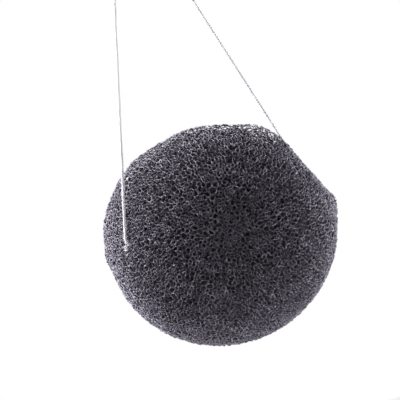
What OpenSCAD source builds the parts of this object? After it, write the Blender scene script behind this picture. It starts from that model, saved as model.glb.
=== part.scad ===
/* [Sponge] */
// Diameter of the moulded half ball
ball_d = 80; // [70:1:90]
// Rounding of the rim between the dome and the flat back
rim_r = 2.5; // [1.5:0.5:4]
// How far the flat back leans up from facing straight back, as the sponge hangs
back_lean = 25.5; // [22:0.5:30]
// How far the flat back is turned aside from square to the loop
back_yaw = 20.9; // [16:0.5:24]
// Depth of the flat that the rim has where the cord pulls past it
dent_depth = 3.7; // [2:0.1:4.5]

/* [Tunnel] */
// Height of the tunnel over the sponge's middle of weight
tunnel_rise = 10; // [8:0.5:12]
// Gap all round between the cord and the tunnel wall
tunnel_gap = 0.05; // [0.03:0.01:0.1]
// Widest radius of the funnel that the pull of the cord draws into the left mouth
funnel_r = 1.4; // [1.3:0.1:1.8]
// Depth of that funnel
funnel_depth = 1.5; // [1.4:0.1:2]

/* [Cord] */
// Diameter of the twisted cotton cord
cord_d = 0.9; // [0.7:0.1:1.2]
// Drop from the middle of the knot to the tunnel
loop_drop = 130; // [100:1:180]
// How far the cord stands out of the left mouth before it turns up
left_reach = 1.6; // [1.4:0.1:2.5]
// How far the cord stands out of the right mouth before it turns up
right_reach = 3.6; // [3.4:0.1:5]
// Radius of the cord's bend at each mouth, about two of its diameters
bend_r = 2; // [1.8:0.1:2.2]
// Gap between the two strands where they run side by side
strand_gap = 0.05; // [0.02:0.01:0.1]

/* [Knot] */
// Half the height of the knot
knot_h = 3.6; // [3.2:0.1:4.5]
// Half the width of the knot
knot_w = 2.6; // [2.3:0.1:3.2]
// Half the thickness of the knot
knot_t = 1.9; // [1.7:0.1:2.4]
// Length of the left cut end over the knot
left_tail = 9; // [4:0.5:15]
// Length of the right cut end over the knot
right_tail = 7; // [4:0.5:15]
// Length of the twin strands under the knot
neck_l = 2.2; // [1.5:0.1:4]
// Gap that lets the strands bend at the knot and at the neck
bend_gap = 0.45; // [0.4:0.05:0.6]

/* [Hidden] */
$fn = 96;

// Overrun of every cut, and the cord's facets
over = 2;
cord_sides = 8;
bend_steps = 6;
knot_steps = 2;

ball_r = ball_d / 2;
cord_r = cord_d / 2;
strand_offset = (cord_d + strand_gap) / 2;

// The flat back's outward direction, and the middle of its disc: the sponge hangs so that its
// middle of weight, three eighths of the radius under the flat, is straight under the knot
mass_depth_share = 0.375;
back_normal = [cos(back_lean) * sin(back_yaw), cos(back_lean) * cos(back_yaw), sin(back_lean)];
ball_centre = [0, 0, -loop_drop - tunnel_rise] + mass_depth_share * ball_r * back_normal;

// Middle of the rounding's circle, seen from the middle of the flat back
rim_middle = [sqrt(pow(ball_r - rim_r, 2) - pow(rim_r, 2)), -rim_r];
// Direction in which the flattened stretch of the rim faces
dent_yaw = -20.9;
dent_lift = 22.7;

// The tunnel is level, straight under the knot, and it ends on the dome and on the flat back
tunnel_start = [0, 0, -loop_drop];
to_centre = ball_centre - tunnel_start;
left_mouth_x = to_centre[0] - sqrt(pow(ball_r, 2) - pow(to_centre[1], 2) - pow(to_centre[2], 2));
right_mouth_x = to_centre * back_normal / back_normal[0];
left_corner = [left_mouth_x - left_reach, 0, -loop_drop];
right_corner = [right_mouth_x + right_reach, 0, -loop_drop];

// Heights along the strands from the knot down to the legs
neck_top = -knot_h - bend_gap;
neck_bottom = neck_top - neck_l;
leg_top = neck_bottom - bend_gap;
leg_spread = leg_top - cord_d;

// Half of the knot's route, as shares of its half width, half thickness and half height. The
// first share only sets the way in, and the other half is this one turned round the X axis.
knot_shares = [
    [0, 0, -1.2],
    [0, 0, -1],
    [0.02, 0.12, -0.84],
    [0.08, 0.62, -0.5],
    [0.3, 0.9, 0],
    [0.38, 0.62, 0.4],
    [0.05, 0.3, 0.42],
    [-0.3, -0.05, 0.24],
    [-0.72, -0.4, -0.08],
    [-0.68, -0.15, -0.48],
    [-0.2, 0.1, -0.62],
    [0.28, 0.2, -0.42],
    [0.4, 0, 0],
];

function unit(v) = v / norm(v);

// Points along the bend that rounds a corner between two straight runs
function bend(p, corner, q) =
    let (
        back = unit(p - corner),
        on = unit(q - corner),
        opening = acos(back * on),
        reach = bend_r / tan(opening / 2),
        middle = corner + norm([reach, bend_r]) * unit(back + on),
        first = unit(corner + reach * back - middle)
    )
    [
        for (i = [0:bend_steps])
        let (turn = (180 - opening) * i / bend_steps)
        middle + bend_r * (cos(turn) * first - sin(turn) * back)
    ];

// Points of a smooth curve through the middle ones of a list
function between(a, b, c, d, t) =
    b + (c - a) * t / 2
    + (a - 2.5 * b + 2 * c - d / 2) * pow(t, 2)
    + (1.5 * b - a / 2 - 1.5 * c + d / 2) * pow(t, 3);
function smooth(p, steps) = [
    for (i = [1:len(p) - 3])
    for (k = [0:i == len(p) - 3 ? steps : steps - 1])
    between(p[i - 1], p[i], p[i + 1], p[i + 2], k / steps)
];

// The way a route heads at one of its points, and the direction sideways of that, square to Y
function ahead(p, i) =
    i == 0 ? unit(p[1] - p[0])
    : i == len(p) - 1 ? unit(p[i] - p[i - 1])
    : unit(unit(p[i + 1] - p[i]) + unit(p[i] - p[i - 1]));
function across(t) = unit(cross([0, 1, 0], t));
// The same route moved sideways, for one of two strands that lie side by side
function moved(p, aside) = [for (i = [0:len(p) - 1]) p[i] + aside * across(ahead(p, i))];
// One ring of the cord's skin, square to the route
function ring(p, i) =
    let (t = ahead(p, i), u = across(t), v = cross(t, u))
    [
        for (k = [0:cord_sides - 1])
        let (around = k * 360 / cord_sides)
        p[i] + cord_r * (cos(around) * u + sin(around) * v)
    ];

module tube(p) {
    rings = [for (i = [0:len(p) - 1]) each ring(p, i)];
    last = (len(p) - 1) * cord_sides;
    faces = concat(
        [[for (k = [0:cord_sides - 1]) k]],
        [[for (k = [cord_sides - 1:-1:0]) last + k]],
        [
            for (i = [0:len(p) - 2])
            for (k = [0:cord_sides - 1])
            let (a = i * cord_sides + k, b = i * cord_sides + (k + 1) % cord_sides)
            each [[a, a + cord_sides, b], [b, a + cord_sides, b + cord_sides]]
        ]
    );
    polyhedron(rings, faces, 4);
}

// The half ball, flat side up, with its rounded rim
module half_ball() {
    rotate_extrude() {
        difference() {
            circle(ball_r);
            translate([-ball_d, -ball_d])
                square([ball_d, 2 * ball_d]);
            translate([-over, 0])
                square([ball_d, ball_d]);
            polygon([
                rim_middle,
                [rim_middle[0], over],
                [ball_d, over],
                rim_middle * ball_d / norm(rim_middle),
            ]);
        }
        translate(rim_middle)
            circle(rim_r);
    }
}

// Everything outside the flattened stretch of the rim
module rim_dent() {
    translate(ball_centre)
        rotate([0, -dent_lift, dent_yaw])
            translate([ball_r - dent_depth, -ball_r, -ball_r])
                cube([ball_r, ball_d, ball_d]);
}

module tunnel() {
    translate([left_corner[0] - over, 0, -loop_drop])
        rotate([0, 90, 0])
            cylinder(h = right_corner[0] - left_corner[0] + 2 * over, r = cord_r + tunnel_gap);
    translate([left_mouth_x + funnel_depth, 0, -loop_drop])
        rotate([0, -90, 0])
            cylinder(h = 2 * funnel_depth, r1 = cord_r, r2 = 2 * funnel_r - cord_r);
}

module sponge() {
    color("dimgray")
        difference() {
            translate(ball_centre)
                rotate([back_lean - 90, 0, -back_yaw])
                    half_ball();
            rim_dent();
            tunnel();
        }
}

// The legs' routes, from their tops to where they meet the threaded stretch
left_top = [-strand_offset, 0, leg_top];
left_spread = [-strand_offset, 0, leg_spread];
right_top = [strand_offset, 0, leg_top];
right_spread = [strand_offset, 0, leg_spread];
left_route = concat([left_top, left_spread], bend(left_spread, left_corner, right_corner));
right_route = concat([right_top, right_spread], bend(right_spread, right_corner, left_corner));

module threaded_cord() {
    from = left_route[len(left_route) - 1];
    to = right_route[len(right_route) - 1];
    color("whitesmoke")
        translate(from)
            rotate([0, 90, 0])
                cylinder(h = to[0] - from[0], r = cord_r);
}

module cord_left_leg() {
    color("whitesmoke")
        tube(left_route);
}

module cord_right_leg() {
    color("whitesmoke")
        tube(right_route);
}

module cord_neck() {
    color("whitesmoke")
        for (side = [-1, 1])
            translate([side * strand_offset, 0, neck_bottom])
                cylinder(h = neck_l, r = cord_r);
}

// One overhand knot in both strands, and their cut ends over it
knot_size = [knot_w, knot_t, knot_h];
function knot_point(s, sign) = [s[0] * knot_size[0], sign * s[1] * knot_size[1], sign * s[2] * knot_size[2]];
knot_last = len(knot_shares) - 1;
knot_route = concat(
    [for (i = [0:knot_last]) knot_point(knot_shares[i], 1)],
    [for (i = [knot_last - 1:-1:0]) knot_point(knot_shares[i], -1)]
);

module cut_end(side, length) {
    tube([
        [side * strand_offset, 0, knot_h],
        [side * strand_offset, 0, knot_h + cord_d],
        [side * (strand_offset + cord_d), 0, knot_h + length],
    ]);
}

module cord_knot() {
    middle = smooth(knot_route, knot_steps);
    color("whitesmoke") {
        for (side = [-1, 1])
            tube(moved(middle, side * strand_offset));
        cut_end(-1, left_tail);
        cut_end(1, right_tail);
    }
}

sponge();
threaded_cord();
cord_left_leg();
cord_right_leg();
cord_neck();
cord_knot();
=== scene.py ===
"""The looks of a charcoal konjac sponge on its white cotton cord, in metres, in the part's own frame."""

import math
from collections import namedtuple

import bmesh
import bpy
import numpy as np
from mathutils import Matrix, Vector
from mathutils.kdtree import KDTree


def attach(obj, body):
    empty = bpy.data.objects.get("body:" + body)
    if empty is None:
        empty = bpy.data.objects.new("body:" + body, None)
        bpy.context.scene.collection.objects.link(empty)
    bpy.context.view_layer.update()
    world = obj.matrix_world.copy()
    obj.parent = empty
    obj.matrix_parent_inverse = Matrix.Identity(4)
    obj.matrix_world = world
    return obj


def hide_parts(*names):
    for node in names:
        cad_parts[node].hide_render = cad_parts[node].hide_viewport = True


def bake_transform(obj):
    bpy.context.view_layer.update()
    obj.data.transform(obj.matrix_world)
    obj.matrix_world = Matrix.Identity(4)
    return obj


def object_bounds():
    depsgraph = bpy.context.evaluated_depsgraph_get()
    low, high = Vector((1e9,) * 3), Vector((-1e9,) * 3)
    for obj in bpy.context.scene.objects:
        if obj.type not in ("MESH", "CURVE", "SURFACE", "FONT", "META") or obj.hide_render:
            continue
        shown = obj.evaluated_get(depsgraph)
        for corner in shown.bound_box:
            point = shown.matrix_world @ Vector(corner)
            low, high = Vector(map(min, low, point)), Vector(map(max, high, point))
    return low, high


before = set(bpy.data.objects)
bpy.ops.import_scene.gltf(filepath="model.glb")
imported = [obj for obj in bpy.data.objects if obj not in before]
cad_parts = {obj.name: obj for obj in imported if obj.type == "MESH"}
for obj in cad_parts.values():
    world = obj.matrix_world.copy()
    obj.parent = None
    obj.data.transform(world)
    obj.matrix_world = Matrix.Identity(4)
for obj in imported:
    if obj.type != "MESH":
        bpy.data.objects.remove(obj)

CAD_LOW, CAD_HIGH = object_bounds()
UP = np.array([0.0, 0.0, 1.0])
SEED = 7

# The sponge: a half ball whose middle of weight hangs straight under the knot
BALL_R = 0.040
MASS_DEPTH_SHARE = 0.375
BACK_LEAN = math.radians(25.5)
BACK_YAW = math.radians(20.9)
LOOP_DROP = 0.130
TUNNEL_RISE = 0.010
DENT_YAW = math.radians(-20.9)
DENT_LIFT = math.radians(22.7)
DENT_DEPTH = 0.0037
# How softly the skin rounds from the dome into the back, and into the dented stretch of the rim
RIM_SOFTNESS = 0.0041
DENT_SOFTNESS = 0.0016
# The middle of the foam that stands up a little in front of the left mouth, from that mouth
LIP_PLACE = np.array([0.0005, -0.0018, -0.0004])

# The cord
CORD_D = 0.0009
CORD_R = CORD_D / 2
STRAND_GAP = 0.00005
STRAND_OFFSET = (CORD_D + STRAND_GAP) / 2
LEFT_REACH = 0.0016
RIGHT_REACH = 0.0036
BEND_R = 0.002
BEND_STEPS = 24
KNOT_SIZE = np.array([0.0026, 0.0019, 0.0036])
LEFT_TAIL = 0.009
RIGHT_TAIL = 0.007
NECK_L = 0.0022
# How far under the knot's middle the neck's strands start: inside the knot, so that they leave it in a wide
# bend
NECK_START = 0.0010
BEND_GAP = 0.00045
KNOT_STEPS = 8
# Length of one turn of its three plies, and of one ring of its mesh
LAY = 0.0020
RING_STEP = 0.0002
PLIES = 3
SIDES_A_PLY = 6
# Its radius between two plies and how much more it has on their crests, as shares of CORD_R, and how the one
# rounds into the other
GROOVE_SHARE = 0.97
CREST_SHARE = 0.07
CREST_POWER = 0.7
# The fuzz of fine hairs that stand off it: how many to a metre, their length and radius, how far out they
# are rooted as a share of CORD_R, and how steeply they rise
FUZZ = 24000
FUZZ_LENGTH = 0.0006
FUZZ_R = 0.000022
FUZZ_ROOT_SHARE = 0.9
FUZZ_RISE = 0.5
# The tuft of loose cotton beside the left mouth: its middle from the mouth, its radius, and its fibres
TUFT_PLACE = np.array([-0.0010, 0.0012, -0.0006])
TUFT_R = 0.0009
TUFT_FIBRES = 320
TUFT_FIBRE_R = 0.00003
# How much any fibres vary: shares of their mean length and mean radius, of that length for how far they are
# lifted and bent aside in the middle, and of the lift for their tips
FIBRE_LENGTH_SHARES = (0.4, 1.6)
FIBRE_RADIUS_SHARES = (0.6, 1.4)
FIBRE_LIFT_SHARES = (0.0, 0.35)
FIBRE_BEND_SHARES = (-0.25, 0.25)
FIBRE_TIP_SHARES = (-0.5, 1.5)
# A fibre's radius at its foot, middle and tip, and its sides
FIBRE_TAPER_SHARES = (1.0, 0.8, 0.3)
FIBRE_SIDES = 3

# The camera, as the photograph was taken: square to the round outline, rolled with the cord's loop
PIXEL = 0.0003405
FRAME_PIXELS = 400
BALL_PIXEL = (220, 228)
CAMERA_AWAY = 3.0
CAMERA_TURN = math.radians(20.869)
CAMERA_ROLL = math.radians(17.2)

# The lamps: how far each stands from the sponge, which way by the picture's own directions, and its watts
Lamp = namedtuple("Lamp", "name away right up front watts")
LAMPS = [
    Lamp("left_lamp", away=0.7, right=-0.91, up=0.36, front=-0.19, watts=10.3),
    Lamp("right_lamp", away=0.6, right=0.9, up=0.45, front=-0.5, watts=2.8),
    Lamp("top_lamp", away=0.6, right=0.1, up=1.0, front=-0.3, watts=2.7),
]
LAMP_SIZE = 0.5

# The world's light from in front, from a ring behind the sponge and from straight behind it, and where each
# lies, as the cosine of its angle to the camera
FRONT_LEVEL = 0.22
RING_LEVEL = 1.8
WALL_LEVEL = 0.5
FRONT_EDGE = 0.5
RING_PLACE = -0.35
WALL_PLACE = -1.0

# The floor: how far it lies under the part, its radius, how far it comes in front of the sponge, its grey
# and roughness, and how much it glows for the camera alone, so that it looks as white as the background
FLOOR_DROP = 0.10
FLOOR_R = 1.3
FLOOR_FRONT = 0.2
FLOOR_SIDES = 96
FLOOR_COLOUR = (0.45, 0.45, 0.45)
FLOOR_ROUGHNESS = 0.9
FLOOR_GLOW = 0.45

# The foam: three nets of open cells, one under another, round a heart painted near-black as shade; the
# deeper nets are painted darker as shade too. For each net: how deep it lies, how softly it rounds the rim,
# the spacing of its cells, its struts' width and thickness, how far they stray in and out, and the shares
# that are left out of its cells' middles, of its struts, and of its struts at the thin edge
Net = namedtuple("Net", "depth softness spacing width thickness ruffle merged gaps thin_gaps")
SKIN_NET = Net(
    depth=0.0003,
    softness=RIM_SOFTNESS,
    spacing=0.00088,
    width=0.00020,
    thickness=0.00055,
    ruffle=0.00019,
    merged=0.14,
    gaps=0.07,
    thin_gaps=0.60,
)
MIDDLE_NET = Net(
    depth=0.0010,
    softness=0.0050,
    spacing=0.00120,
    width=0.00018,
    thickness=0.00060,
    ruffle=0.00022,
    merged=0.12,
    gaps=0.25,
    thin_gaps=0.95,
)
UNDER_NET = Net(
    depth=0.0018,
    softness=0.0060,
    spacing=0.00135,
    width=0.00018,
    thickness=0.00070,
    ruffle=0.00030,
    merged=0.10,
    gaps=0.20,
    thin_gaps=1.0,
)
# The wide pores among the fine ones, which reach down through the nets: their spacing, their mean radius and
# its range
PORE_SPACING = 0.0021
PORE_R = 0.0009
PORE_R_SHARES = (0.4, 1.6)
# How unevenly all the cells are spaced, as a share of their spacing, and how many places are tried for each
UNEVEN = 0.45
TRIES = 14
# The width of the cell that opens over each mouth of the tunnel
MOUTH_ROOM = 0.0020
# How the struts vary: the weights that a node gives to the middles of its three cells, the range of
# thickness, the share of it that lies above the net, and how far a strut's sides drop under its middle
NODE_WEIGHTS = (0.35, 1.35)
THICKNESS_SHARES = (0.5, 1.5)
ABOVE_SHARE = 0.35
SIDE_DROP_SHARE = 0.15
# The range of their width, from cell to cell and from node to node, the share of cells that are nearly
# webbed over and how wide struts are there, and how far a strut's side may reach to the middle of its cell
WIDTH_SHARES = (0.6, 1.4)
WEBBED = 0.03
WEB_WIDTH_SHARE = 2.6
REACH_SHARE = 0.72
# How far under the back's plane the skin belongs to the dome's pieces and no longer to the back's
DOME_START = 0.001
# The stray fibres on the skin: how many, and their length and radius
FIBRES = 13000
FIBRE_LENGTH = 0.00065
FIBRE_R = 0.00005
# The heart under the nets, painted near-black as shade
HEART_SPACING = 0.0013
HEART_DEPTH = 0.0026
HEART_SOFTNESS = 0.008
HEART_RUFFLE = 0.0004
# The stretch of the upper edge where the foam is thin enough to see through: how far in from the rim, where
# its middle is round the outline in degrees, and how far round from there as a cosine
THIN_WIDTH = 0.0045
THIN_ANGLE = 86
THIN_COSINE = 0.86

# Sizes of the patterns in the materials, and the finest one's detail
STRUT_TONE = 0.0007
CLUMP = 0.0022
CLOUD = 0.010
GRAIN = 0.00016
GRAIN_DETAIL = 3.0
# The range that holds most of a noise, and a wider one for the struts
NOISE_RANGE = (0.3, 0.7)
STRUT_RANGE = (0.3, 0.72)
# How much the foam's wider patterns and its grain change its tone, and where on it the four colours lie
CLOUD_SWING = 0.11
CLUMP_SWING = 0.06
GRAIN_SWING = 0.15
TONE_STOPS = (0.1, 0.45, 0.8, 1.0)
# The foam's colours from layer to layer: dark, middle, light, and a painted glint
SKIN_COLOURS = (
    (0.0328, 0.0279, 0.0410),
    (0.1025, 0.0886, 0.1271),
    (0.2435, 0.2214, 0.2870),
    (0.5387, 0.5125, 0.5822),
)
# Painted shade: the middle and under nets are painted darker than the skin, as the dim depths of the foam
MIDDLE_PAINTED_SHADE_COLOURS = (
    (0.0164, 0.0139, 0.0205),
    (0.0492, 0.0426, 0.0607),
    (0.1148, 0.1025, 0.1353),
    (0.2296, 0.2132, 0.2542),
)
UNDER_PAINTED_SHADE_COLOURS = (
    (0.0082, 0.0074, 0.0103),
    (0.0213, 0.0189, 0.0254),
    (0.0492, 0.0443, 0.0574),
    (0.0820, 0.0754, 0.0927),
)
# Painted shade: the heart is painted near-black, as the dark deep inside the foam
HEART_PAINTED_SHADE_COLOURS = (
    (0.003, 0.003, 0.004),
    (0.006, 0.0055, 0.007),
    (0.010, 0.009, 0.012),
    (0.015, 0.014, 0.017),
)
FOAM_ROUGHNESS = (0.30, 0.60)
FOAM_SHEEN = 0.9
FOAM_SHEEN_TINT = (0.90, 0.86, 1.0, 1)
FOAM_SPECULAR = 0.35
FOAM_BUMP = 0.6
# The cotton's dark and light colours, and how far light spreads in it, for the cord and for the tuft
CORD_COLOURS = ((0.66, 0.65, 0.69), (0.74, 0.73, 0.76))
CORD_SCATTER = 3 * CORD_R
# Painted light: the tuft's cotton is painted lighter than the cord's, to make up for the shade it sits in
TUFT_PAINTED_LIGHT_COLOURS = ((0.88, 0.87, 0.915), (0.96, 0.95, 0.98))
TUFT_SCATTER = CORD_R
COTTON_ROUGHNESS = (0.75, 0.95)
COTTON_SHEEN = 0.25
COTTON_BUMP = 0.25


# Places and directions that follow from the sizes


def direction(turn, lift):
    """Unit vector turned from X towards Y, and lifted towards Z."""
    return np.array([math.cos(lift) * math.cos(turn), math.cos(lift) * math.sin(turn), math.sin(lift)])


def unit(v):
    """Vectors of length one along the last axis."""
    return v / np.linalg.norm(v, axis=-1, keepdims=True)


BACK_NORMAL = direction(math.pi / 2 - BACK_YAW, BACK_LEAN)
BACK_ACROSS = unit(np.cross(UP, BACK_NORMAL))
DENT_NORMAL = direction(DENT_YAW, DENT_LIFT)
DENT_REACH = BALL_R - DENT_DEPTH
BALL_CENTRE = -(LOOP_DROP + TUNNEL_RISE) * UP + MASS_DEPTH_SHARE * BALL_R * BACK_NORMAL

# The tunnel's mouths, and the corners of the cord's route outside them
TUNNEL_START = -LOOP_DROP * UP
TO_CENTRE = BALL_CENTRE - TUNNEL_START
HALF_CHORD = math.sqrt(BALL_R**2 - TO_CENTRE[1] ** 2 - TO_CENTRE[2] ** 2)
LEFT_MOUTH = TUNNEL_START + np.array([TO_CENTRE[0] - HALF_CHORD, 0, 0])
RIGHT_MOUTH = TUNNEL_START + np.array([TO_CENTRE @ BACK_NORMAL / BACK_NORMAL[0], 0, 0])
LEFT_CORNER = LEFT_MOUTH - np.array([LEFT_REACH, 0, 0])
RIGHT_CORNER = RIGHT_MOUTH + np.array([RIGHT_REACH, 0, 0])

# Heights along the strands from the knot down to the legs, which start to bend inside the neck
NECK_TOP = -KNOT_SIZE[2] - BEND_GAP
NECK_BOTTOM = NECK_TOP - NECK_L
LEG_TOP = NECK_BOTTOM - BEND_GAP
LEG_SPREAD = LEG_TOP - CORD_D

# Half of the knot's route, as shares of its half width, half thickness and half height. The other half is
# this one turned round the X axis
KNOT_SHARES = np.array([
    [0, 0, -1.2],
    [0, 0, -1],
    [0.02, 0.12, -0.84],
    [0.08, 0.62, -0.5],
    [0.3, 0.9, 0],
    [0.38, 0.62, 0.4],
    [0.05, 0.3, 0.42],
    [-0.3, -0.05, 0.24],
    [-0.72, -0.4, -0.08],
    [-0.68, -0.15, -0.48],
    [-0.2, 0.1, -0.62],
    [0.28, 0.2, -0.42],
    [0.4, 0, 0],
])
HALF_TURN = np.array([1.0, -1.0, -1.0])


def outline_way(degrees):
    """Direction round the outline that the camera sees, from the picture's right towards its top."""
    return direction(-CAMERA_TURN, math.radians(degrees) - CAMERA_ROLL)


def rim_way(degrees):
    """Direction to the flat back's rim where the camera sees it at an angle round the outline."""
    way = outline_way(degrees)
    back = direction(-math.pi / 2 - CAMERA_TURN, 0)
    return unit(way - (way @ BACK_NORMAL) / (back @ BACK_NORMAL) * back)


# Swells and hollows of the hand-shaped foam: way from the middle, height, and spread in degrees. The last is
# the lip of foam in front of the left mouth
LUMPS = [
    (outline_way(171), 0.00200, 10),
    (outline_way(193), 0.00110, 4),
    (outline_way(207), -0.00030, 5),
    (outline_way(243), 0.00040, 18),
    (outline_way(15), 0.00120, 5),
    (rim_way(43), -0.00070, 7),
    (rim_way(70), 0.00100, 6),
    (rim_way(108), 0.00050, 9),
    (rim_way(146), 0.00110, 11),
    (unit(LEFT_MOUTH + LIP_PLACE - BALL_CENTRE), 0.00060, 2.6),
]


# Shader nodes


def add_node(tree, kind, **settings):
    """A shader node. Settings that name an input set it, and the others are the node's own properties."""
    node = tree.nodes.new("ShaderNode" + kind)
    for name, value in settings.items():
        if name in node.inputs:
            node.inputs[name].default_value = value
        else:
            setattr(node, name, value)
    return node


def new_material(name, colour, roughness):
    """A material of the plain shader, its node tree and that shader."""
    material = bpy.data.materials.new(name)
    material.use_nodes = True
    tree = material.node_tree
    shader = tree.nodes["Principled BSDF"]
    shader.inputs["Base Color"].default_value = (*colour, 1)
    shader.inputs["Roughness"].default_value = roughness
    return material, tree, shader


def noise_at(tree, place, size, detail=2.0):
    """Noise whose lumps are about that size, in metres, from 0 to 1."""
    noise = add_node(tree, "TexNoise", Scale=1 / size, Detail=detail)
    tree.links.new(place, noise.inputs["Vector"])
    return noise.outputs["Fac"]


def ranged(tree, value, low, high, to_low, to_high):
    """A value mapped from one range to another, and held there."""
    node = add_node(tree, "MapRange")
    for name, number in (("From Min", low), ("From Max", high), ("To Min", to_low), ("To Max", to_high)):
        node.inputs[name].default_value = number
    tree.links.new(value, node.inputs["Value"])
    return node.outputs["Result"]


def combined(tree, operation, a, b):
    """Two values joined by arithmetic. b may be a plain number."""
    node = add_node(tree, "Math", operation=operation)
    tree.links.new(a, node.inputs[0])
    if isinstance(b, float):
        node.inputs[1].default_value = b
    else:
        tree.links.new(b, node.inputs[1])
    return node.outputs[0]


def coloured(tree, factor, stops):
    """A colour for each value, between the stops' colours."""
    ramp = add_node(tree, "ValToRGB")
    elements = ramp.color_ramp.elements
    while len(elements) < len(stops):
        elements.new(1.0)
    for element, (place, colour) in zip(elements, stops):
        element.position = place
        element.color = (*colour, 1)
    tree.links.new(factor, ramp.inputs["Fac"])
    return ramp.outputs["Color"]


def bumped(tree, shader, height, distance, strength):
    """Fine relief on a shader, from a height of 0 to 1 over that distance."""
    bump = add_node(tree, "Bump", Strength=strength, Distance=distance)
    tree.links.new(height, bump.inputs["Height"])
    tree.links.new(bump.outputs["Normal"], shader.inputs["Normal"])


# Camera and light


def add_camera():
    """A long lens at the photograph's viewing angle. Returns the picture's right and up, and the way to the
    camera."""
    back = np.array([-math.sin(CAMERA_TURN), -math.cos(CAMERA_TURN), 0.0])
    level = np.cross(UP, back)
    right = math.cos(CAMERA_ROLL) * level - math.sin(CAMERA_ROLL) * UP
    up = np.cross(back, right)
    middle = FRAME_PIXELS / 2
    aim = BALL_CENTRE + PIXEL * ((middle - BALL_PIXEL[0]) * right + (BALL_PIXEL[1] - middle) * up)
    data = bpy.data.cameras.new("camera")
    data.lens = data.sensor_width * CAMERA_AWAY / (FRAME_PIXELS * PIXEL)
    camera = bpy.data.objects.new("camera", data)
    bpy.context.scene.collection.objects.link(camera)
    camera.matrix_world = Matrix(np.column_stack([right, up, back]).tolist()).to_4x4()
    camera.location = aim + CAMERA_AWAY * back
    bpy.context.scene.camera = camera
    return right, up, back


def add_lamp(name, place, target, watts):
    """A square soft lamp that faces a point."""
    data = bpy.data.lights.new(name, "AREA")
    data.size = LAMP_SIZE
    data.energy = watts
    lamp = bpy.data.objects.new(name, data)
    bpy.context.scene.collection.objects.link(lamp)
    away = unit(place - target)
    side = unit(np.cross(UP, away))
    lamp.matrix_world = Matrix(np.column_stack([side, np.cross(away, side), away]).tolist()).to_4x4()
    lamp.location = place


def add_light(right, up, back):
    """Soft studio light, mostly from the left and from behind, as in front of a white wall."""
    for lamp in LAMPS:
        way = lamp.right * right + lamp.up * up + lamp.front * back
        add_lamp(lamp.name, BALL_CENTRE + lamp.away * way, BALL_CENTRE, lamp.watts)


def add_world(back):
    """Even light, strongest from a ring round the wall behind, and plain white where the camera looks past
    the floor."""
    world = bpy.data.worlds.new("studio")
    bpy.context.scene.world = world
    world.use_nodes = True
    tree = world.node_tree
    dot = add_node(tree, "VectorMath", operation="DOT_PRODUCT")
    dot.inputs[1].default_value = back
    tree.links.new(add_node(tree, "TexCoord").outputs["Generated"], dot.inputs[0])
    facing = dot.outputs["Value"]
    front = ranged(tree, facing, FRONT_EDGE, RING_PLACE, FRONT_LEVEL, RING_LEVEL)
    wall = ranged(tree, facing, WALL_PLACE, RING_PLACE, WALL_LEVEL, RING_LEVEL)
    path = add_node(tree, "LightPath")
    seen = combined(tree, "MAXIMUM", path.outputs["Is Camera Ray"], path.outputs["Is Transmission Ray"])
    strength = add_node(tree, "MapRange")
    tree.links.new(combined(tree, "MINIMUM", front, wall), strength.inputs["To Min"])
    strength.inputs["To Max"].default_value = 1.0
    tree.links.new(seen, strength.inputs["Value"])
    background = tree.nodes["Background"]
    background.inputs["Color"].default_value = (1, 1, 1, 1)
    tree.links.new(strength.outputs["Result"], background.inputs["Strength"])


def add_floor(back):
    """A wide pale floor well below the hanging sponge, from a little in front of it. It keeps the shadow."""
    bm = bmesh.new()
    bmesh.ops.create_circle(bm, cap_ends=True, segments=FLOOR_SIDES, radius=FLOOR_R)
    mesh = bpy.data.meshes.new("floor")
    bm.to_mesh(mesh)
    bm.free()
    floor = bpy.data.objects.new("floor", mesh)
    floor.location = BALL_CENTRE - (FLOOR_R - FLOOR_FRONT) * back
    floor.location.z = CAD_LOW.z - FLOOR_DROP
    bpy.context.scene.collection.objects.link(floor)
    material, tree, shader = new_material("pale_floor", FLOOR_COLOUR, FLOOR_ROUGHNESS)
    seen = add_node(tree, "LightPath").outputs["Is Camera Ray"]
    tree.links.new(combined(tree, "MULTIPLY", seen, FLOOR_GLOW), shader.inputs["Emission Strength"])
    shader.inputs["Emission Color"].default_value = (1, 1, 1, 1)
    mesh.materials.append(material)


# Routes


def corner_bend(start, corner, end):
    """Points along the bend that rounds a corner between two straight runs."""
    back, on = unit(start - corner), unit(end - corner)
    opening = math.acos(back @ on)
    reach = BEND_R / math.tan(opening / 2)
    middle = corner + math.hypot(reach, BEND_R) * unit(back + on)
    first = unit(corner + reach * back - middle)
    turn = np.linspace(0, math.pi - opening, BEND_STEPS + 1)[:, None]
    return middle + BEND_R * (np.cos(turn) * first - np.sin(turn) * back)


def smooth(points, steps):
    """A smooth curve through the middle points of a list."""
    curve = []
    for i in range(1, len(points) - 2):
        a, b, c, d = points[i - 1 : i + 3]
        for t in np.arange(steps) / steps:
            curve.append(
                b
                + (c - a) * t / 2
                + (a - 2.5 * b + 2 * c - d / 2) * t**2
                + (1.5 * b - a / 2 - 1.5 * c + d / 2) * t**3
            )
    curve.append(points[-2])
    return np.array(curve)


def ahead(points):
    """The way a route heads at each of its points."""
    runs = unit(np.diff(points, axis=0))
    return unit(np.vstack([runs[:1], runs[1:] + runs[:-1], runs[-1:]]))


def beside(points, aside):
    """The same route moved sideways, for one of two strands that lie side by side."""
    return points + aside * unit(np.cross([0.0, 1.0, 0.0], ahead(points)))


def travelled(points):
    """How far along a route each of its points lies."""
    return np.concatenate([[0], np.cumsum(np.linalg.norm(np.diff(points, axis=0), axis=1))])


def resampled(points, step):
    """Points at even steps along a route."""
    along = travelled(points)
    count = max(2, round(along[-1] / step) + 1)
    at = np.linspace(0, along[-1], count)
    return np.column_stack([np.interp(at, along, points[:, k]) for k in range(3)])


def route_length(points):
    """The length of a route."""
    return float(np.linalg.norm(np.diff(points, axis=0), axis=1).sum())


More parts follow.
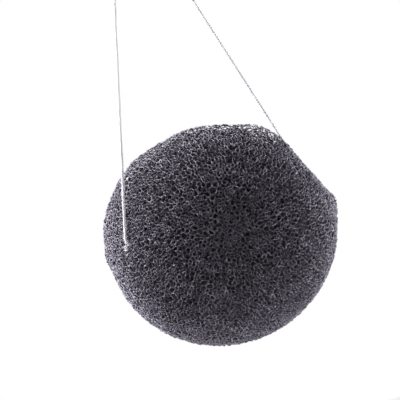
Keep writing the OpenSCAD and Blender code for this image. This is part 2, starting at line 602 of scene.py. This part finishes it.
def carried_frames(points):
    """Two directions square to a route at each point, carried along it without twist."""
    heading = ahead(points)
    side = unit(np.cross([0.0, 1.0, 0.0], heading[0]))
    sides = []
    for t in heading:
        side = unit(side - (side @ t) * t)
        sides.append(side)
    sides = np.array(sides)
    return sides, np.cross(heading, sides)


# Meshes


def new_piece(name, verts, faces, material):
    """A smooth mesh object from arrays of vertices and faces."""
    mesh = bpy.data.meshes.new(name)
    mesh.from_pydata(verts.tolist(), [], [list(map(int, f)) for f in faces])
    mesh.validate()
    mesh.update()
    mesh.shade_smooth()
    mesh.materials.append(material)
    piece = bpy.data.objects.new(name, mesh)
    bpy.context.scene.collection.objects.link(piece)
    return piece


def joined(parts):
    """Several (vertices, faces) as one."""
    verts, faces, first = [], [], 0
    for v, f in parts:
        verts.append(v)
        faces += [[int(i) + first for i in face] for face in f]
        first += len(v)
    return np.vstack(verts), faces


def ply_radius(angle):
    """Radius of the twisted cord at an angle from the crest of its nearest ply."""
    nearest = (angle + math.pi / PLIES) % (2 * math.pi / PLIES) - math.pi / PLIES
    return CORD_R * (GROOVE_SHARE + CREST_SHARE * np.cos(nearest * PLIES / 2) ** CREST_POWER)


def twisted_tube(points):
    """Vertices and faces of a twisted cord along a route of rings, with closed ends."""
    sides, others = carried_frames(points)
    count = PLIES * SIDES_A_PLY
    around = np.linspace(0, 2 * math.pi, count, endpoint=False)[None, :]
    crest = 2 * math.pi * travelled(points)[:, None] / LAY
    radius = ply_radius(around - crest)
    ring = np.cos(around)[..., None] * sides[:, None] + np.sin(around)[..., None] * others[:, None]
    verts = (points[:, None] + radius[..., None] * ring).reshape(-1, 3)
    base = np.arange(len(points) - 1)[:, None] * count
    k = np.arange(count)[None, :]
    nxt = (k + 1) % count
    quads = np.stack([base + k, base + nxt, base + count + nxt, base + count + k], axis=-1).reshape(-1, 4)
    last = (len(points) - 1) * count
    return verts, [*quads.tolist(), list(range(count))[::-1], list(range(last, last + count))]


def fibres(rng, feet, run, out, mean_length, mean_radius):
    """Thin fibres from their feet along a run, each lifted outward and bent once in the middle."""
    count = len(feet)
    aside = np.cross(out, run)
    length = mean_length * rng.uniform(*FIBRE_LENGTH_SHARES, count)[:, None]
    lift = mean_length * rng.uniform(*FIBRE_LIFT_SHARES, count)[:, None]
    bend = mean_length * rng.uniform(*FIBRE_BEND_SHARES, count)[:, None]
    radius = mean_radius * rng.uniform(*FIBRE_RADIUS_SHARES, count)[:, None]
    middle = feet + run * length / 2 + out * lift + aside * bend
    tip = feet + run * length + out * lift * rng.uniform(*FIBRE_TIP_SHARES, count)[:, None]
    rings = []
    for centre, scale in zip((feet, middle, tip), FIBRE_TAPER_SHARES):
        for turn in np.arange(FIBRE_SIDES) * 2 * math.pi / FIBRE_SIDES:
            rings.append(centre + scale * radius * (math.cos(turn) * out + math.sin(turn) * aside))
    verts = np.stack(rings, axis=1).reshape(-1, 3)
    first = len(rings) * np.arange(count)[:, None]
    quads = []
    for s in (0, FIBRE_SIDES):
        for k in range(FIBRE_SIDES):
            nxt = (k + 1) % FIBRE_SIDES
            quads.append(first + [s + k, s + nxt, s + FIBRE_SIDES + nxt, s + FIBRE_SIDES + k])
    last = 2 * FIBRE_SIDES
    ends = [first + list(range(FIBRE_SIDES))[::-1], first + list(range(last, last + FIBRE_SIDES))]
    return verts, [*np.vstack(quads).tolist(), *np.vstack(ends).tolist()]


# Cord


def fuzz(rng, points):
    """Fine hairs that stand off a cord, from random places round its route."""
    sides, others = carried_frames(points)
    heading = ahead(points)
    count = int(FUZZ * route_length(points))
    at = rng.integers(1, len(points) - 1, count)
    turn = (2 * math.pi * rng.random(count))[:, None]
    out = np.cos(turn) * sides[at] + np.sin(turn) * others[at]
    around = np.cross(heading[at], out)
    lean = rng.standard_normal((count, 3))
    run = unit(lean[:, :1] * heading[at] + lean[:, 1:2] * around + FUZZ_RISE * np.abs(lean[:, 2:]) * out)
    out = unit(out - np.einsum("ij,ij->i", out, run)[:, None] * run)
    return fibres(rng, points[at] + FUZZ_ROOT_SHARE * CORD_R * out, run, out, FUZZ_LENGTH, FUZZ_R)


def cord_piece(name, routes, material):
    """One piece of twisted cord with its fuzz, along one or more routes."""
    rng = np.random.default_rng(SEED)
    parts = []
    for route in routes:
        points = resampled(route, RING_STEP)
        parts.append(twisted_tube(points))
        parts.append(fuzz(rng, points))
    piece = new_piece(name, *joined(parts), material)
    return piece


def leg_route(side, corner, other):
    """A leg from inside the neck down to where it meets the threaded stretch."""
    aside = np.array([side * STRAND_OFFSET, 0, 0])
    inside = aside + (NECK_BOTTOM + NECK_L / 2) * UP
    spread = aside + LEG_SPREAD * UP
    return np.vstack([inside, spread, corner_bend(spread, corner, other)])


def leg_piece(name, route, material):
    """One of the loop's two legs, which bends where it leaves the neck."""
    piece = cord_piece(name + "_twist", [route], material)
    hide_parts(name)
    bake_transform(piece)
    return piece


def threaded_piece(start, end, material):
    """The straight stretch in the tunnel."""
    piece = cord_piece("threaded_cord_twist", [np.array([start, end])], material)
    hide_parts("threaded_cord")
    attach(piece, "loop")


def knot_piece(material):
    """The overhand knot in both strands, and their two cut ends over it."""
    shares = np.vstack([KNOT_SHARES, KNOT_SHARES[-2::-1] * HALF_TURN])
    route = smooth(shares * KNOT_SIZE, KNOT_STEPS)
    routes = [beside(route, side * STRAND_OFFSET) for side in (-1, 1)]
    for side, length in ((-1, LEFT_TAIL), (1, RIGHT_TAIL)):
        foot = np.array([side * STRAND_OFFSET, 0, KNOT_SIZE[2]])
        routes.append(np.array([foot, foot + CORD_D * UP, foot + [side * CORD_D, 0, length]]))
    piece = cord_piece("cord_knot_twist", routes, material)
    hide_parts("cord_knot")
    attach(piece, "knot")
    return piece


def neck_piece(material):
    """The two strands side by side under the knot."""
    routes = []
    for side in (-1, 1):
        aside = np.array([side * STRAND_OFFSET, 0, 0])
        routes.append(np.array([aside - NECK_START * UP, aside + NECK_BOTTOM * UP]))
    piece = cord_piece("cord_neck_twist", routes, material)
    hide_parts("cord_neck")
    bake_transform(piece)
    return piece


def add_cord(material):
    """The loop's legs, the threaded stretch, the knot and the neck."""
    left = leg_route(-1, LEFT_CORNER, RIGHT_CORNER)
    right = leg_route(1, RIGHT_CORNER, LEFT_CORNER)
    left_leg = leg_piece("cord_left_leg", left, material)
    right_leg = leg_piece("cord_right_leg", right, material)
    threaded_piece(left[-1], right[-1], material)
    knot = knot_piece(material)
    neck = neck_piece(material)


def add_tuft(material):
    """A tuft of loose cotton, caught in the foam beside the left mouth."""
    rng = np.random.default_rng(SEED)
    stray = TUFT_R / 2 * rng.standard_normal((TUFT_FIBRES, 3)).clip(-1, 1)
    middles = LEFT_MOUTH + TUFT_PLACE + stray
    run = unit(rng.standard_normal(middles.shape))
    out = unit(np.cross(run, unit(rng.standard_normal(middles.shape))))
    feet = middles - run * TUFT_R / 2
    piece = new_piece("cord_tuft", *fibres(rng, feet, run, out, TUFT_R, TUFT_FIBRE_R), material)
    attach(piece, "sponge")


# The sponge's skin


def smooth_max(a, b, width):
    """The larger of two distances, rounded where they are nearly the same."""
    overlap = np.maximum(width - np.abs(a - b), 0) / width
    return np.maximum(a, b) + overlap**2 * width / 4


def skin_distance(p, softness=RIM_SOFTNESS):
    """How far points lie outside the sponge's skin, below zero inside."""
    q = p - BALL_CENTRE
    half_ball = smooth_max(np.linalg.norm(q, axis=-1) - BALL_R, q @ BACK_NORMAL, softness)
    distance = smooth_max(half_ball, q @ DENT_NORMAL - DENT_REACH, DENT_SOFTNESS)
    facing = unit(q)
    for way, height, spread in LUMPS:
        distance = distance - height * np.exp((facing @ way - 1) / math.radians(spread) ** 2)
    return distance


def skin_normal(p, softness=RIM_SOFTNESS, step=1e-5):
    """The way out of the foam at points near its skin."""
    slopes = []
    for way in np.eye(3):
        slopes.append(skin_distance(p + step * way, softness) - skin_distance(p - step * way, softness))
    return unit(np.stack(slopes, axis=-1))


def settled(p, depth, softness, rounds=5):
    """Points moved square to the skin until they lie at one depth under it."""
    for _ in range(rounds):
        p = p - (skin_distance(p, softness) + depth)[:, None] * skin_normal(p, softness)
    return p


def thinness(p):
    """How near points lie to the thin stretch of the upper edge, from 0 to 1."""
    top = outline_way(THIN_ANGLE)
    top = unit(top - (top @ BACK_NORMAL) * BACK_NORMAL)
    q = p - BALL_CENTRE
    low = -(q @ BACK_NORMAL)
    out = np.linalg.norm(q + low[:, None] * BACK_NORMAL, axis=1)
    near = np.exp(-((BALL_R - out) ** 2 + low**2) / THIN_WIDTH**2)
    return near * np.clip((unit(q) @ top - THIN_COSINE) / (1 - THIN_COSINE), 0, 1) ** 0.5


# Points on the skin


def strewn(rng, count, depth, softness):
    """Random points all over the skin, or at a depth under it. The back is a third of a half ball's skin."""
    turn = rng.random(count) * 2 * math.pi
    height = rng.random(count)
    on_back = rng.random(count) < 1 / 3
    out = np.where(on_back, np.sqrt(height), np.sqrt(1 - height**2))
    low = np.where(on_back, 0.0, -height)
    upright = np.cross(BACK_NORMAL, BACK_ACROSS)
    aside = np.cos(turn)[:, None] * BACK_ACROSS + np.sin(turn)[:, None] * upright
    q = out[:, None] * aside + low[:, None] * BACK_NORMAL
    return settled(BALL_CENTRE + BALL_R * q, depth, softness)


def scattered(rng, spacing, depth, softness, fixed=()):
    """Random points on the skin, or at a depth under it, that keep their distance from each other. The fixed
    ones, each with the room that it keeps, come first."""
    tries = int(TRIES * 3 * math.pi * BALL_R**2 / spacing**2)
    places = strewn(rng, tries, depth, softness)
    room = spacing * (1 + UNEVEN * (2 * rng.random(tries) - 1))
    for place, wide in fixed:
        places = np.vstack([settled(place[None], depth, softness), places])
        room = np.concatenate([[wide], room])
    side = spacing * (1 + UNEVEN)
    grid, kept = {}, []
    for i, (x, y, z) in enumerate(places.tolist()):
        a, b, c = int(x // side), int(y // side), int(z // side)
        near = (
            j
            for u in (a - 1, a, a + 1)
            for v in (b - 1, b, b + 1)
            for w in (c - 1, c, c + 1)
            for j in grid.get((u, v, w), ())
        )
        r = room[i]
        if all(
            (x - places[j, 0]) ** 2 + (y - places[j, 1]) ** 2 + (z - places[j, 2]) ** 2
            > ((r + room[j]) / 2) ** 2
            for j in near
        ):
            grid.setdefault((a, b, c), []).append(i)
            kept.append(i)
    return places[kept]


def opened(points, layer, pores, radii):
    """A net's cell middles with the wide pores' own in place of those that they swallow."""
    middles = settled(pores, layer.depth, layer.softness)
    tree = KDTree(len(middles))
    for i, middle in enumerate(middles):
        tree.insert(middle, i)
    tree.balance()
    clear = []
    for point in points:
        _, i, distance = tree.find(point)
        clear.append(distance > radii[i])
    return np.vstack([points[clear], middles])


def on_sphere(p):
    """Where points of the half ball's skin lie on a sphere that keeps their angles. The back opens out to
    half of it."""
    q = p - BALL_CENTRE
    low = -(q @ BACK_NORMAL)
    flat = q + low[:, None] * BACK_NORMAL
    out = np.linalg.norm(flat, axis=1)
    polar = np.arctan2(out, low) + math.pi / 2 - 2 * np.arctan(np.linalg.norm(q, axis=1) / BALL_R)
    return np.sin(polar)[:, None] * flat / out[:, None] - np.cos(polar)[:, None] * BACK_NORMAL


def triangles_over(points, hull_r=10):
    """Triangles that join points spread over the skin, seen counterclockwise from outside. They are found as
    the hull of the points on a large sphere."""
    sphere = on_sphere(points)
    bm = bmesh.new()
    for place in sphere * hull_r:
        bm.verts.new(place)
    bmesh.ops.convex_hull(bm, input=list(bm.verts))
    bm.verts.index_update()
    bmesh.ops.triangulate(bm, faces=list(bm.faces))
    found = np.array([[v.index for v in f.verts] for f in bm.faces])
    bm.free()
    a, b, c = (sphere[found[:, k]] for k in range(3))
    inward = np.einsum("ij,ij->i", np.cross(b - a, c - a), a + b + c) < 0
    found[inward] = found[inward][:, ::-1]
    return found


# Foam


def net_edges(triangles):
    """For each edge between two triangles: both triangles, and the corners of its two cells in each."""
    count = len(triangles)
    start, end = triangles.ravel(), np.roll(triangles, -1, axis=1).ravel()
    corner = np.arange(3 * count)
    nxt = (corner // 3) * 3 + (corner + 1) % 3
    many = int(triangles.max()) + 1
    key, back_key = start * many + end, end * many + start
    order = np.argsort(key)
    found = order[np.searchsorted(key[order], back_key)]
    one = start < end
    a, m = corner[one], found[one]
    return a // 3, m // 3, a, nxt[a], m, nxt[m]


def foam_net(rng, layer, mouths, pores, radii):
    """One net of struts round open cells: its vertices, and each strut's two nodes, four quads and the two
    quads that would close its neighbours if it were left out. Then which struts are kept, and where."""
    points = scattered(rng, layer.spacing, layer.depth, layer.softness, mouths)
    points = opened(points[rng.random(len(points)) > layer.merged], layer, pores, radii)
    triangles = triangles_over(points)
    left, right, u_left, v_left, v_right, u_right = net_edges(triangles)
    weights = rng.uniform(*NODE_WEIGHTS, triangles.shape)
    weights /= weights.sum(axis=1, keepdims=True)
    nodes = (points[triangles] * weights[..., None]).sum(axis=1)
    out = skin_normal(nodes)
    nodes = nodes + out * (layer.ruffle * rng.standard_normal(len(nodes)).clip(-2, 2))[:, None]
    thick = layer.thickness * rng.uniform(*THICKNESS_SHARES, len(nodes))
    top = nodes + out * thick[:, None] * ABOVE_SHARE
    bottom = nodes - out * thick[:, None] * (1 - ABOVE_SHARE)
    cell = triangles.ravel()
    node = np.repeat(np.arange(len(nodes)), 3)
    inward = points[cell] - nodes[node]
    away = np.linalg.norm(inward, axis=1)
    webbed = rng.random(len(points)) < WEBBED
    cell_width = np.where(webbed, WEB_WIDTH_SHARE, rng.uniform(*WIDTH_SHARES, len(points)))
    reach = layer.width * cell_width[cell] * rng.uniform(*WIDTH_SHARES, len(nodes))[node]
    share = np.minimum(reach / away, REACH_SHARE)
    side = nodes[node] + share[:, None] * inward - out[node] * (SIDE_DROP_SHARE * thick[node])[:, None]
    n = len(nodes)
    t, b, s = 0, n, 2 * n
    quads = np.stack([
        np.column_stack([t + left, s + u_left, s + u_right, t + right]),
        np.column_stack([t + right, s + v_right, s + v_left, t + left]),
        np.column_stack([s + u_left, b + left, b + right, s + u_right]),
        np.column_stack([s + v_right, b + right, b + left, s + v_left]),
    ], axis=1)
    caps = np.stack([
        np.column_stack([t + left, s + u_left, b + left, s + v_left]),
        np.column_stack([t + right, s + v_right, b + right, s + u_right]),
    ], axis=1)
    ends = np.column_stack([left, right])
    gaps = layer.gaps + (layer.thin_gaps - layer.gaps) * thinness(nodes[left])
    kept = rng.random(len(ends)) > gaps
    return (np.vstack([top, bottom, side]), ends, quads, caps), kept, nodes[left] - BALL_CENTRE


def net_piece(name, net, chosen, material):
    """A piece of the chosen struts of a net, closed where its other struts would go on."""
    verts, ends, quads, caps = net
    held = np.zeros(len(verts), bool)
    held[ends[chosen]] = True
    faces = np.vstack([quads[chosen].reshape(-1, 4), caps[~chosen][held[ends[~chosen]]]])
    used, faces = np.unique(faces, return_inverse=True)
    return new_piece(name, verts[used], faces.reshape(-1, 4), material)


def net_halves(name, net, chosen, place, material):
    """Two pieces of the chosen struts of a net: those on the left, and those on the right."""
    on_left = place @ BACK_ACROSS > 0
    left = net_piece(name + "_left", net, chosen & on_left, material)
    right = net_piece(name + "_right", net, chosen & ~on_left, material)
    return [left, right]


def fibre_piece(rng, material):
    """Stray fibres that lie on the skin this way and that."""
    feet = strewn(rng, FIBRES, SKIN_NET.depth, SKIN_NET.softness)
    out = skin_normal(feet)
    run = rng.standard_normal(feet.shape)
    run = unit(run - np.einsum("ij,ij->i", run, out)[:, None] * out)
    return new_piece("foam_fibres", *fibres(rng, feet, run, out, FIBRE_LENGTH, FIBRE_R), material)


def painted_shade_heart_piece(rng, material):
    """The crumbly heart under the nets, painted near-black as shade."""
    points = scattered(rng, HEART_SPACING, HEART_DEPTH, HEART_SOFTNESS)
    triangles = triangles_over(points)
    rough = HEART_RUFFLE * rng.standard_normal(len(points))
    points = points + skin_normal(points, HEART_SOFTNESS) * rough[:, None]
    return new_piece("foam_heart_painted_shade", points, triangles, material)


def add_foam(skin, middle, under, heart):
    """Three nets of open cells, one under another and painted darker with depth as shade, round a heart
    painted near-black as shade, with stray fibres on the first.
    """
    mouths = [(LEFT_MOUTH, MOUTH_ROOM), (RIGHT_MOUTH, MOUTH_ROOM)]
    rng = np.random.default_rng(SEED)
    pores = scattered(rng, PORE_SPACING, SKIN_NET.depth, SKIN_NET.softness)
    radii = PORE_R * rng.uniform(*PORE_R_SHARES, len(pores))
    net, kept, place = foam_net(rng, SKIN_NET, mouths, pores, radii)
    on_dome = place @ BACK_NORMAL < -DOME_START
    pieces = net_halves("foam_dome", net, kept & on_dome, place, skin)
    pieces.append(net_piece("foam_back", net, kept & ~on_dome, skin))
    for name, layer, material in (("foam_middle", MIDDLE_NET, middle), ("foam_under", UNDER_NET, under)):
        net, kept, place = foam_net(rng, layer, mouths, pores, radii)
        pieces += net_halves(name, net, kept, place, material)
    pieces.append(fibre_piece(rng, skin))
    pieces.append(painted_shade_heart_piece(rng, heart))
    for piece in pieces:
        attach(piece, "sponge")
        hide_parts("sponge")


# Materials


def foam_material(name, colours):
    """Dried konjac foam: a charcoal grey skin on each strut that varies from strut to strut and in wider
    clouds, with a fine grain and here and there a painted glint."""
    material, tree, shader = new_material(name, colour=colours[1], roughness=0.5)
    place = add_node(tree, "TexCoord").outputs["Object"]
    grain = noise_at(tree, place, GRAIN, GRAIN_DETAIL)
    tone = ranged(tree, noise_at(tree, place, STRUT_TONE), *STRUT_RANGE, 0.0, 1.0)
    for pattern, swing in (
        (noise_at(tree, place, CLOUD), CLOUD_SWING),
        (grain, GRAIN_SWING),
        (noise_at(tree, place, CLUMP), CLUMP_SWING),
    ):
        tone = combined(tree, "ADD", tone, ranged(tree, pattern, *NOISE_RANGE, -swing, swing))
    stops = list(zip(TONE_STOPS, colours))
    tree.links.new(coloured(tree, tone, stops), shader.inputs["Base Color"])
    tree.links.new(ranged(tree, grain, *NOISE_RANGE, *FOAM_ROUGHNESS), shader.inputs["Roughness"])
    shader.inputs["Sheen Weight"].default_value = FOAM_SHEEN
    shader.inputs["Sheen Tint"].default_value = FOAM_SHEEN_TINT
    shader.inputs["Specular IOR Level"].default_value = FOAM_SPECULAR
    bumped(tree, shader, grain, GRAIN / 2, FOAM_BUMP)
    return material


def cotton_material(name, colours, scatter):
    """White cotton with the grain of fine fibres. Light spreads through it over the scatter's length."""
    material, tree, shader = new_material(name, colour=colours[1], roughness=0.85)
    place = add_node(tree, "TexCoord").outputs["Object"]
    fibre = noise_at(tree, place, GRAIN, GRAIN_DETAIL)
    tone = ranged(tree, fibre, *NOISE_RANGE, 0.0, 1.0)
    stops = list(zip((0.0, 1.0), colours))
    tree.links.new(coloured(tree, tone, stops), shader.inputs["Base Color"])
    tree.links.new(ranged(tree, fibre, *NOISE_RANGE, *COTTON_ROUGHNESS), shader.inputs["Roughness"])
    shader.inputs["Sheen Weight"].default_value = COTTON_SHEEN
    shader.inputs["Subsurface Weight"].default_value = 1.0
    shader.inputs["Subsurface Radius"].default_value = (1.0, 1.0, 1.0)
    shader.inputs["Subsurface Scale"].default_value = scatter
    bumped(tree, shader, fibre, GRAIN / 2, COTTON_BUMP)
    return material


def main():
    """The whole scene."""
    right, up, back = add_camera()
    add_light(right, up, back)
    add_world(back)
    add_floor(back)
    bpy.context.scene.view_settings.view_transform = "Standard"
    add_cord(cotton_material("cotton", CORD_COLOURS, CORD_SCATTER))
    # The tuft's cotton is painted lighter than the cord's, as painted light
    add_tuft(cotton_material("loose_cotton_painted_light", TUFT_PAINTED_LIGHT_COLOURS, TUFT_SCATTER))
    add_foam(
        skin=foam_material("charcoal_foam", SKIN_COLOURS),
        # The deeper nets and the heart get colours painted darker as shade
        middle=foam_material("charcoal_foam_middle_painted_shade", MIDDLE_PAINTED_SHADE_COLOURS),
        under=foam_material("charcoal_foam_deep_painted_shade", UNDER_PAINTED_SHADE_COLOURS),
        heart=foam_material("charcoal_heart_painted_shade", HEART_PAINTED_SHADE_COLOURS),
    )


main()
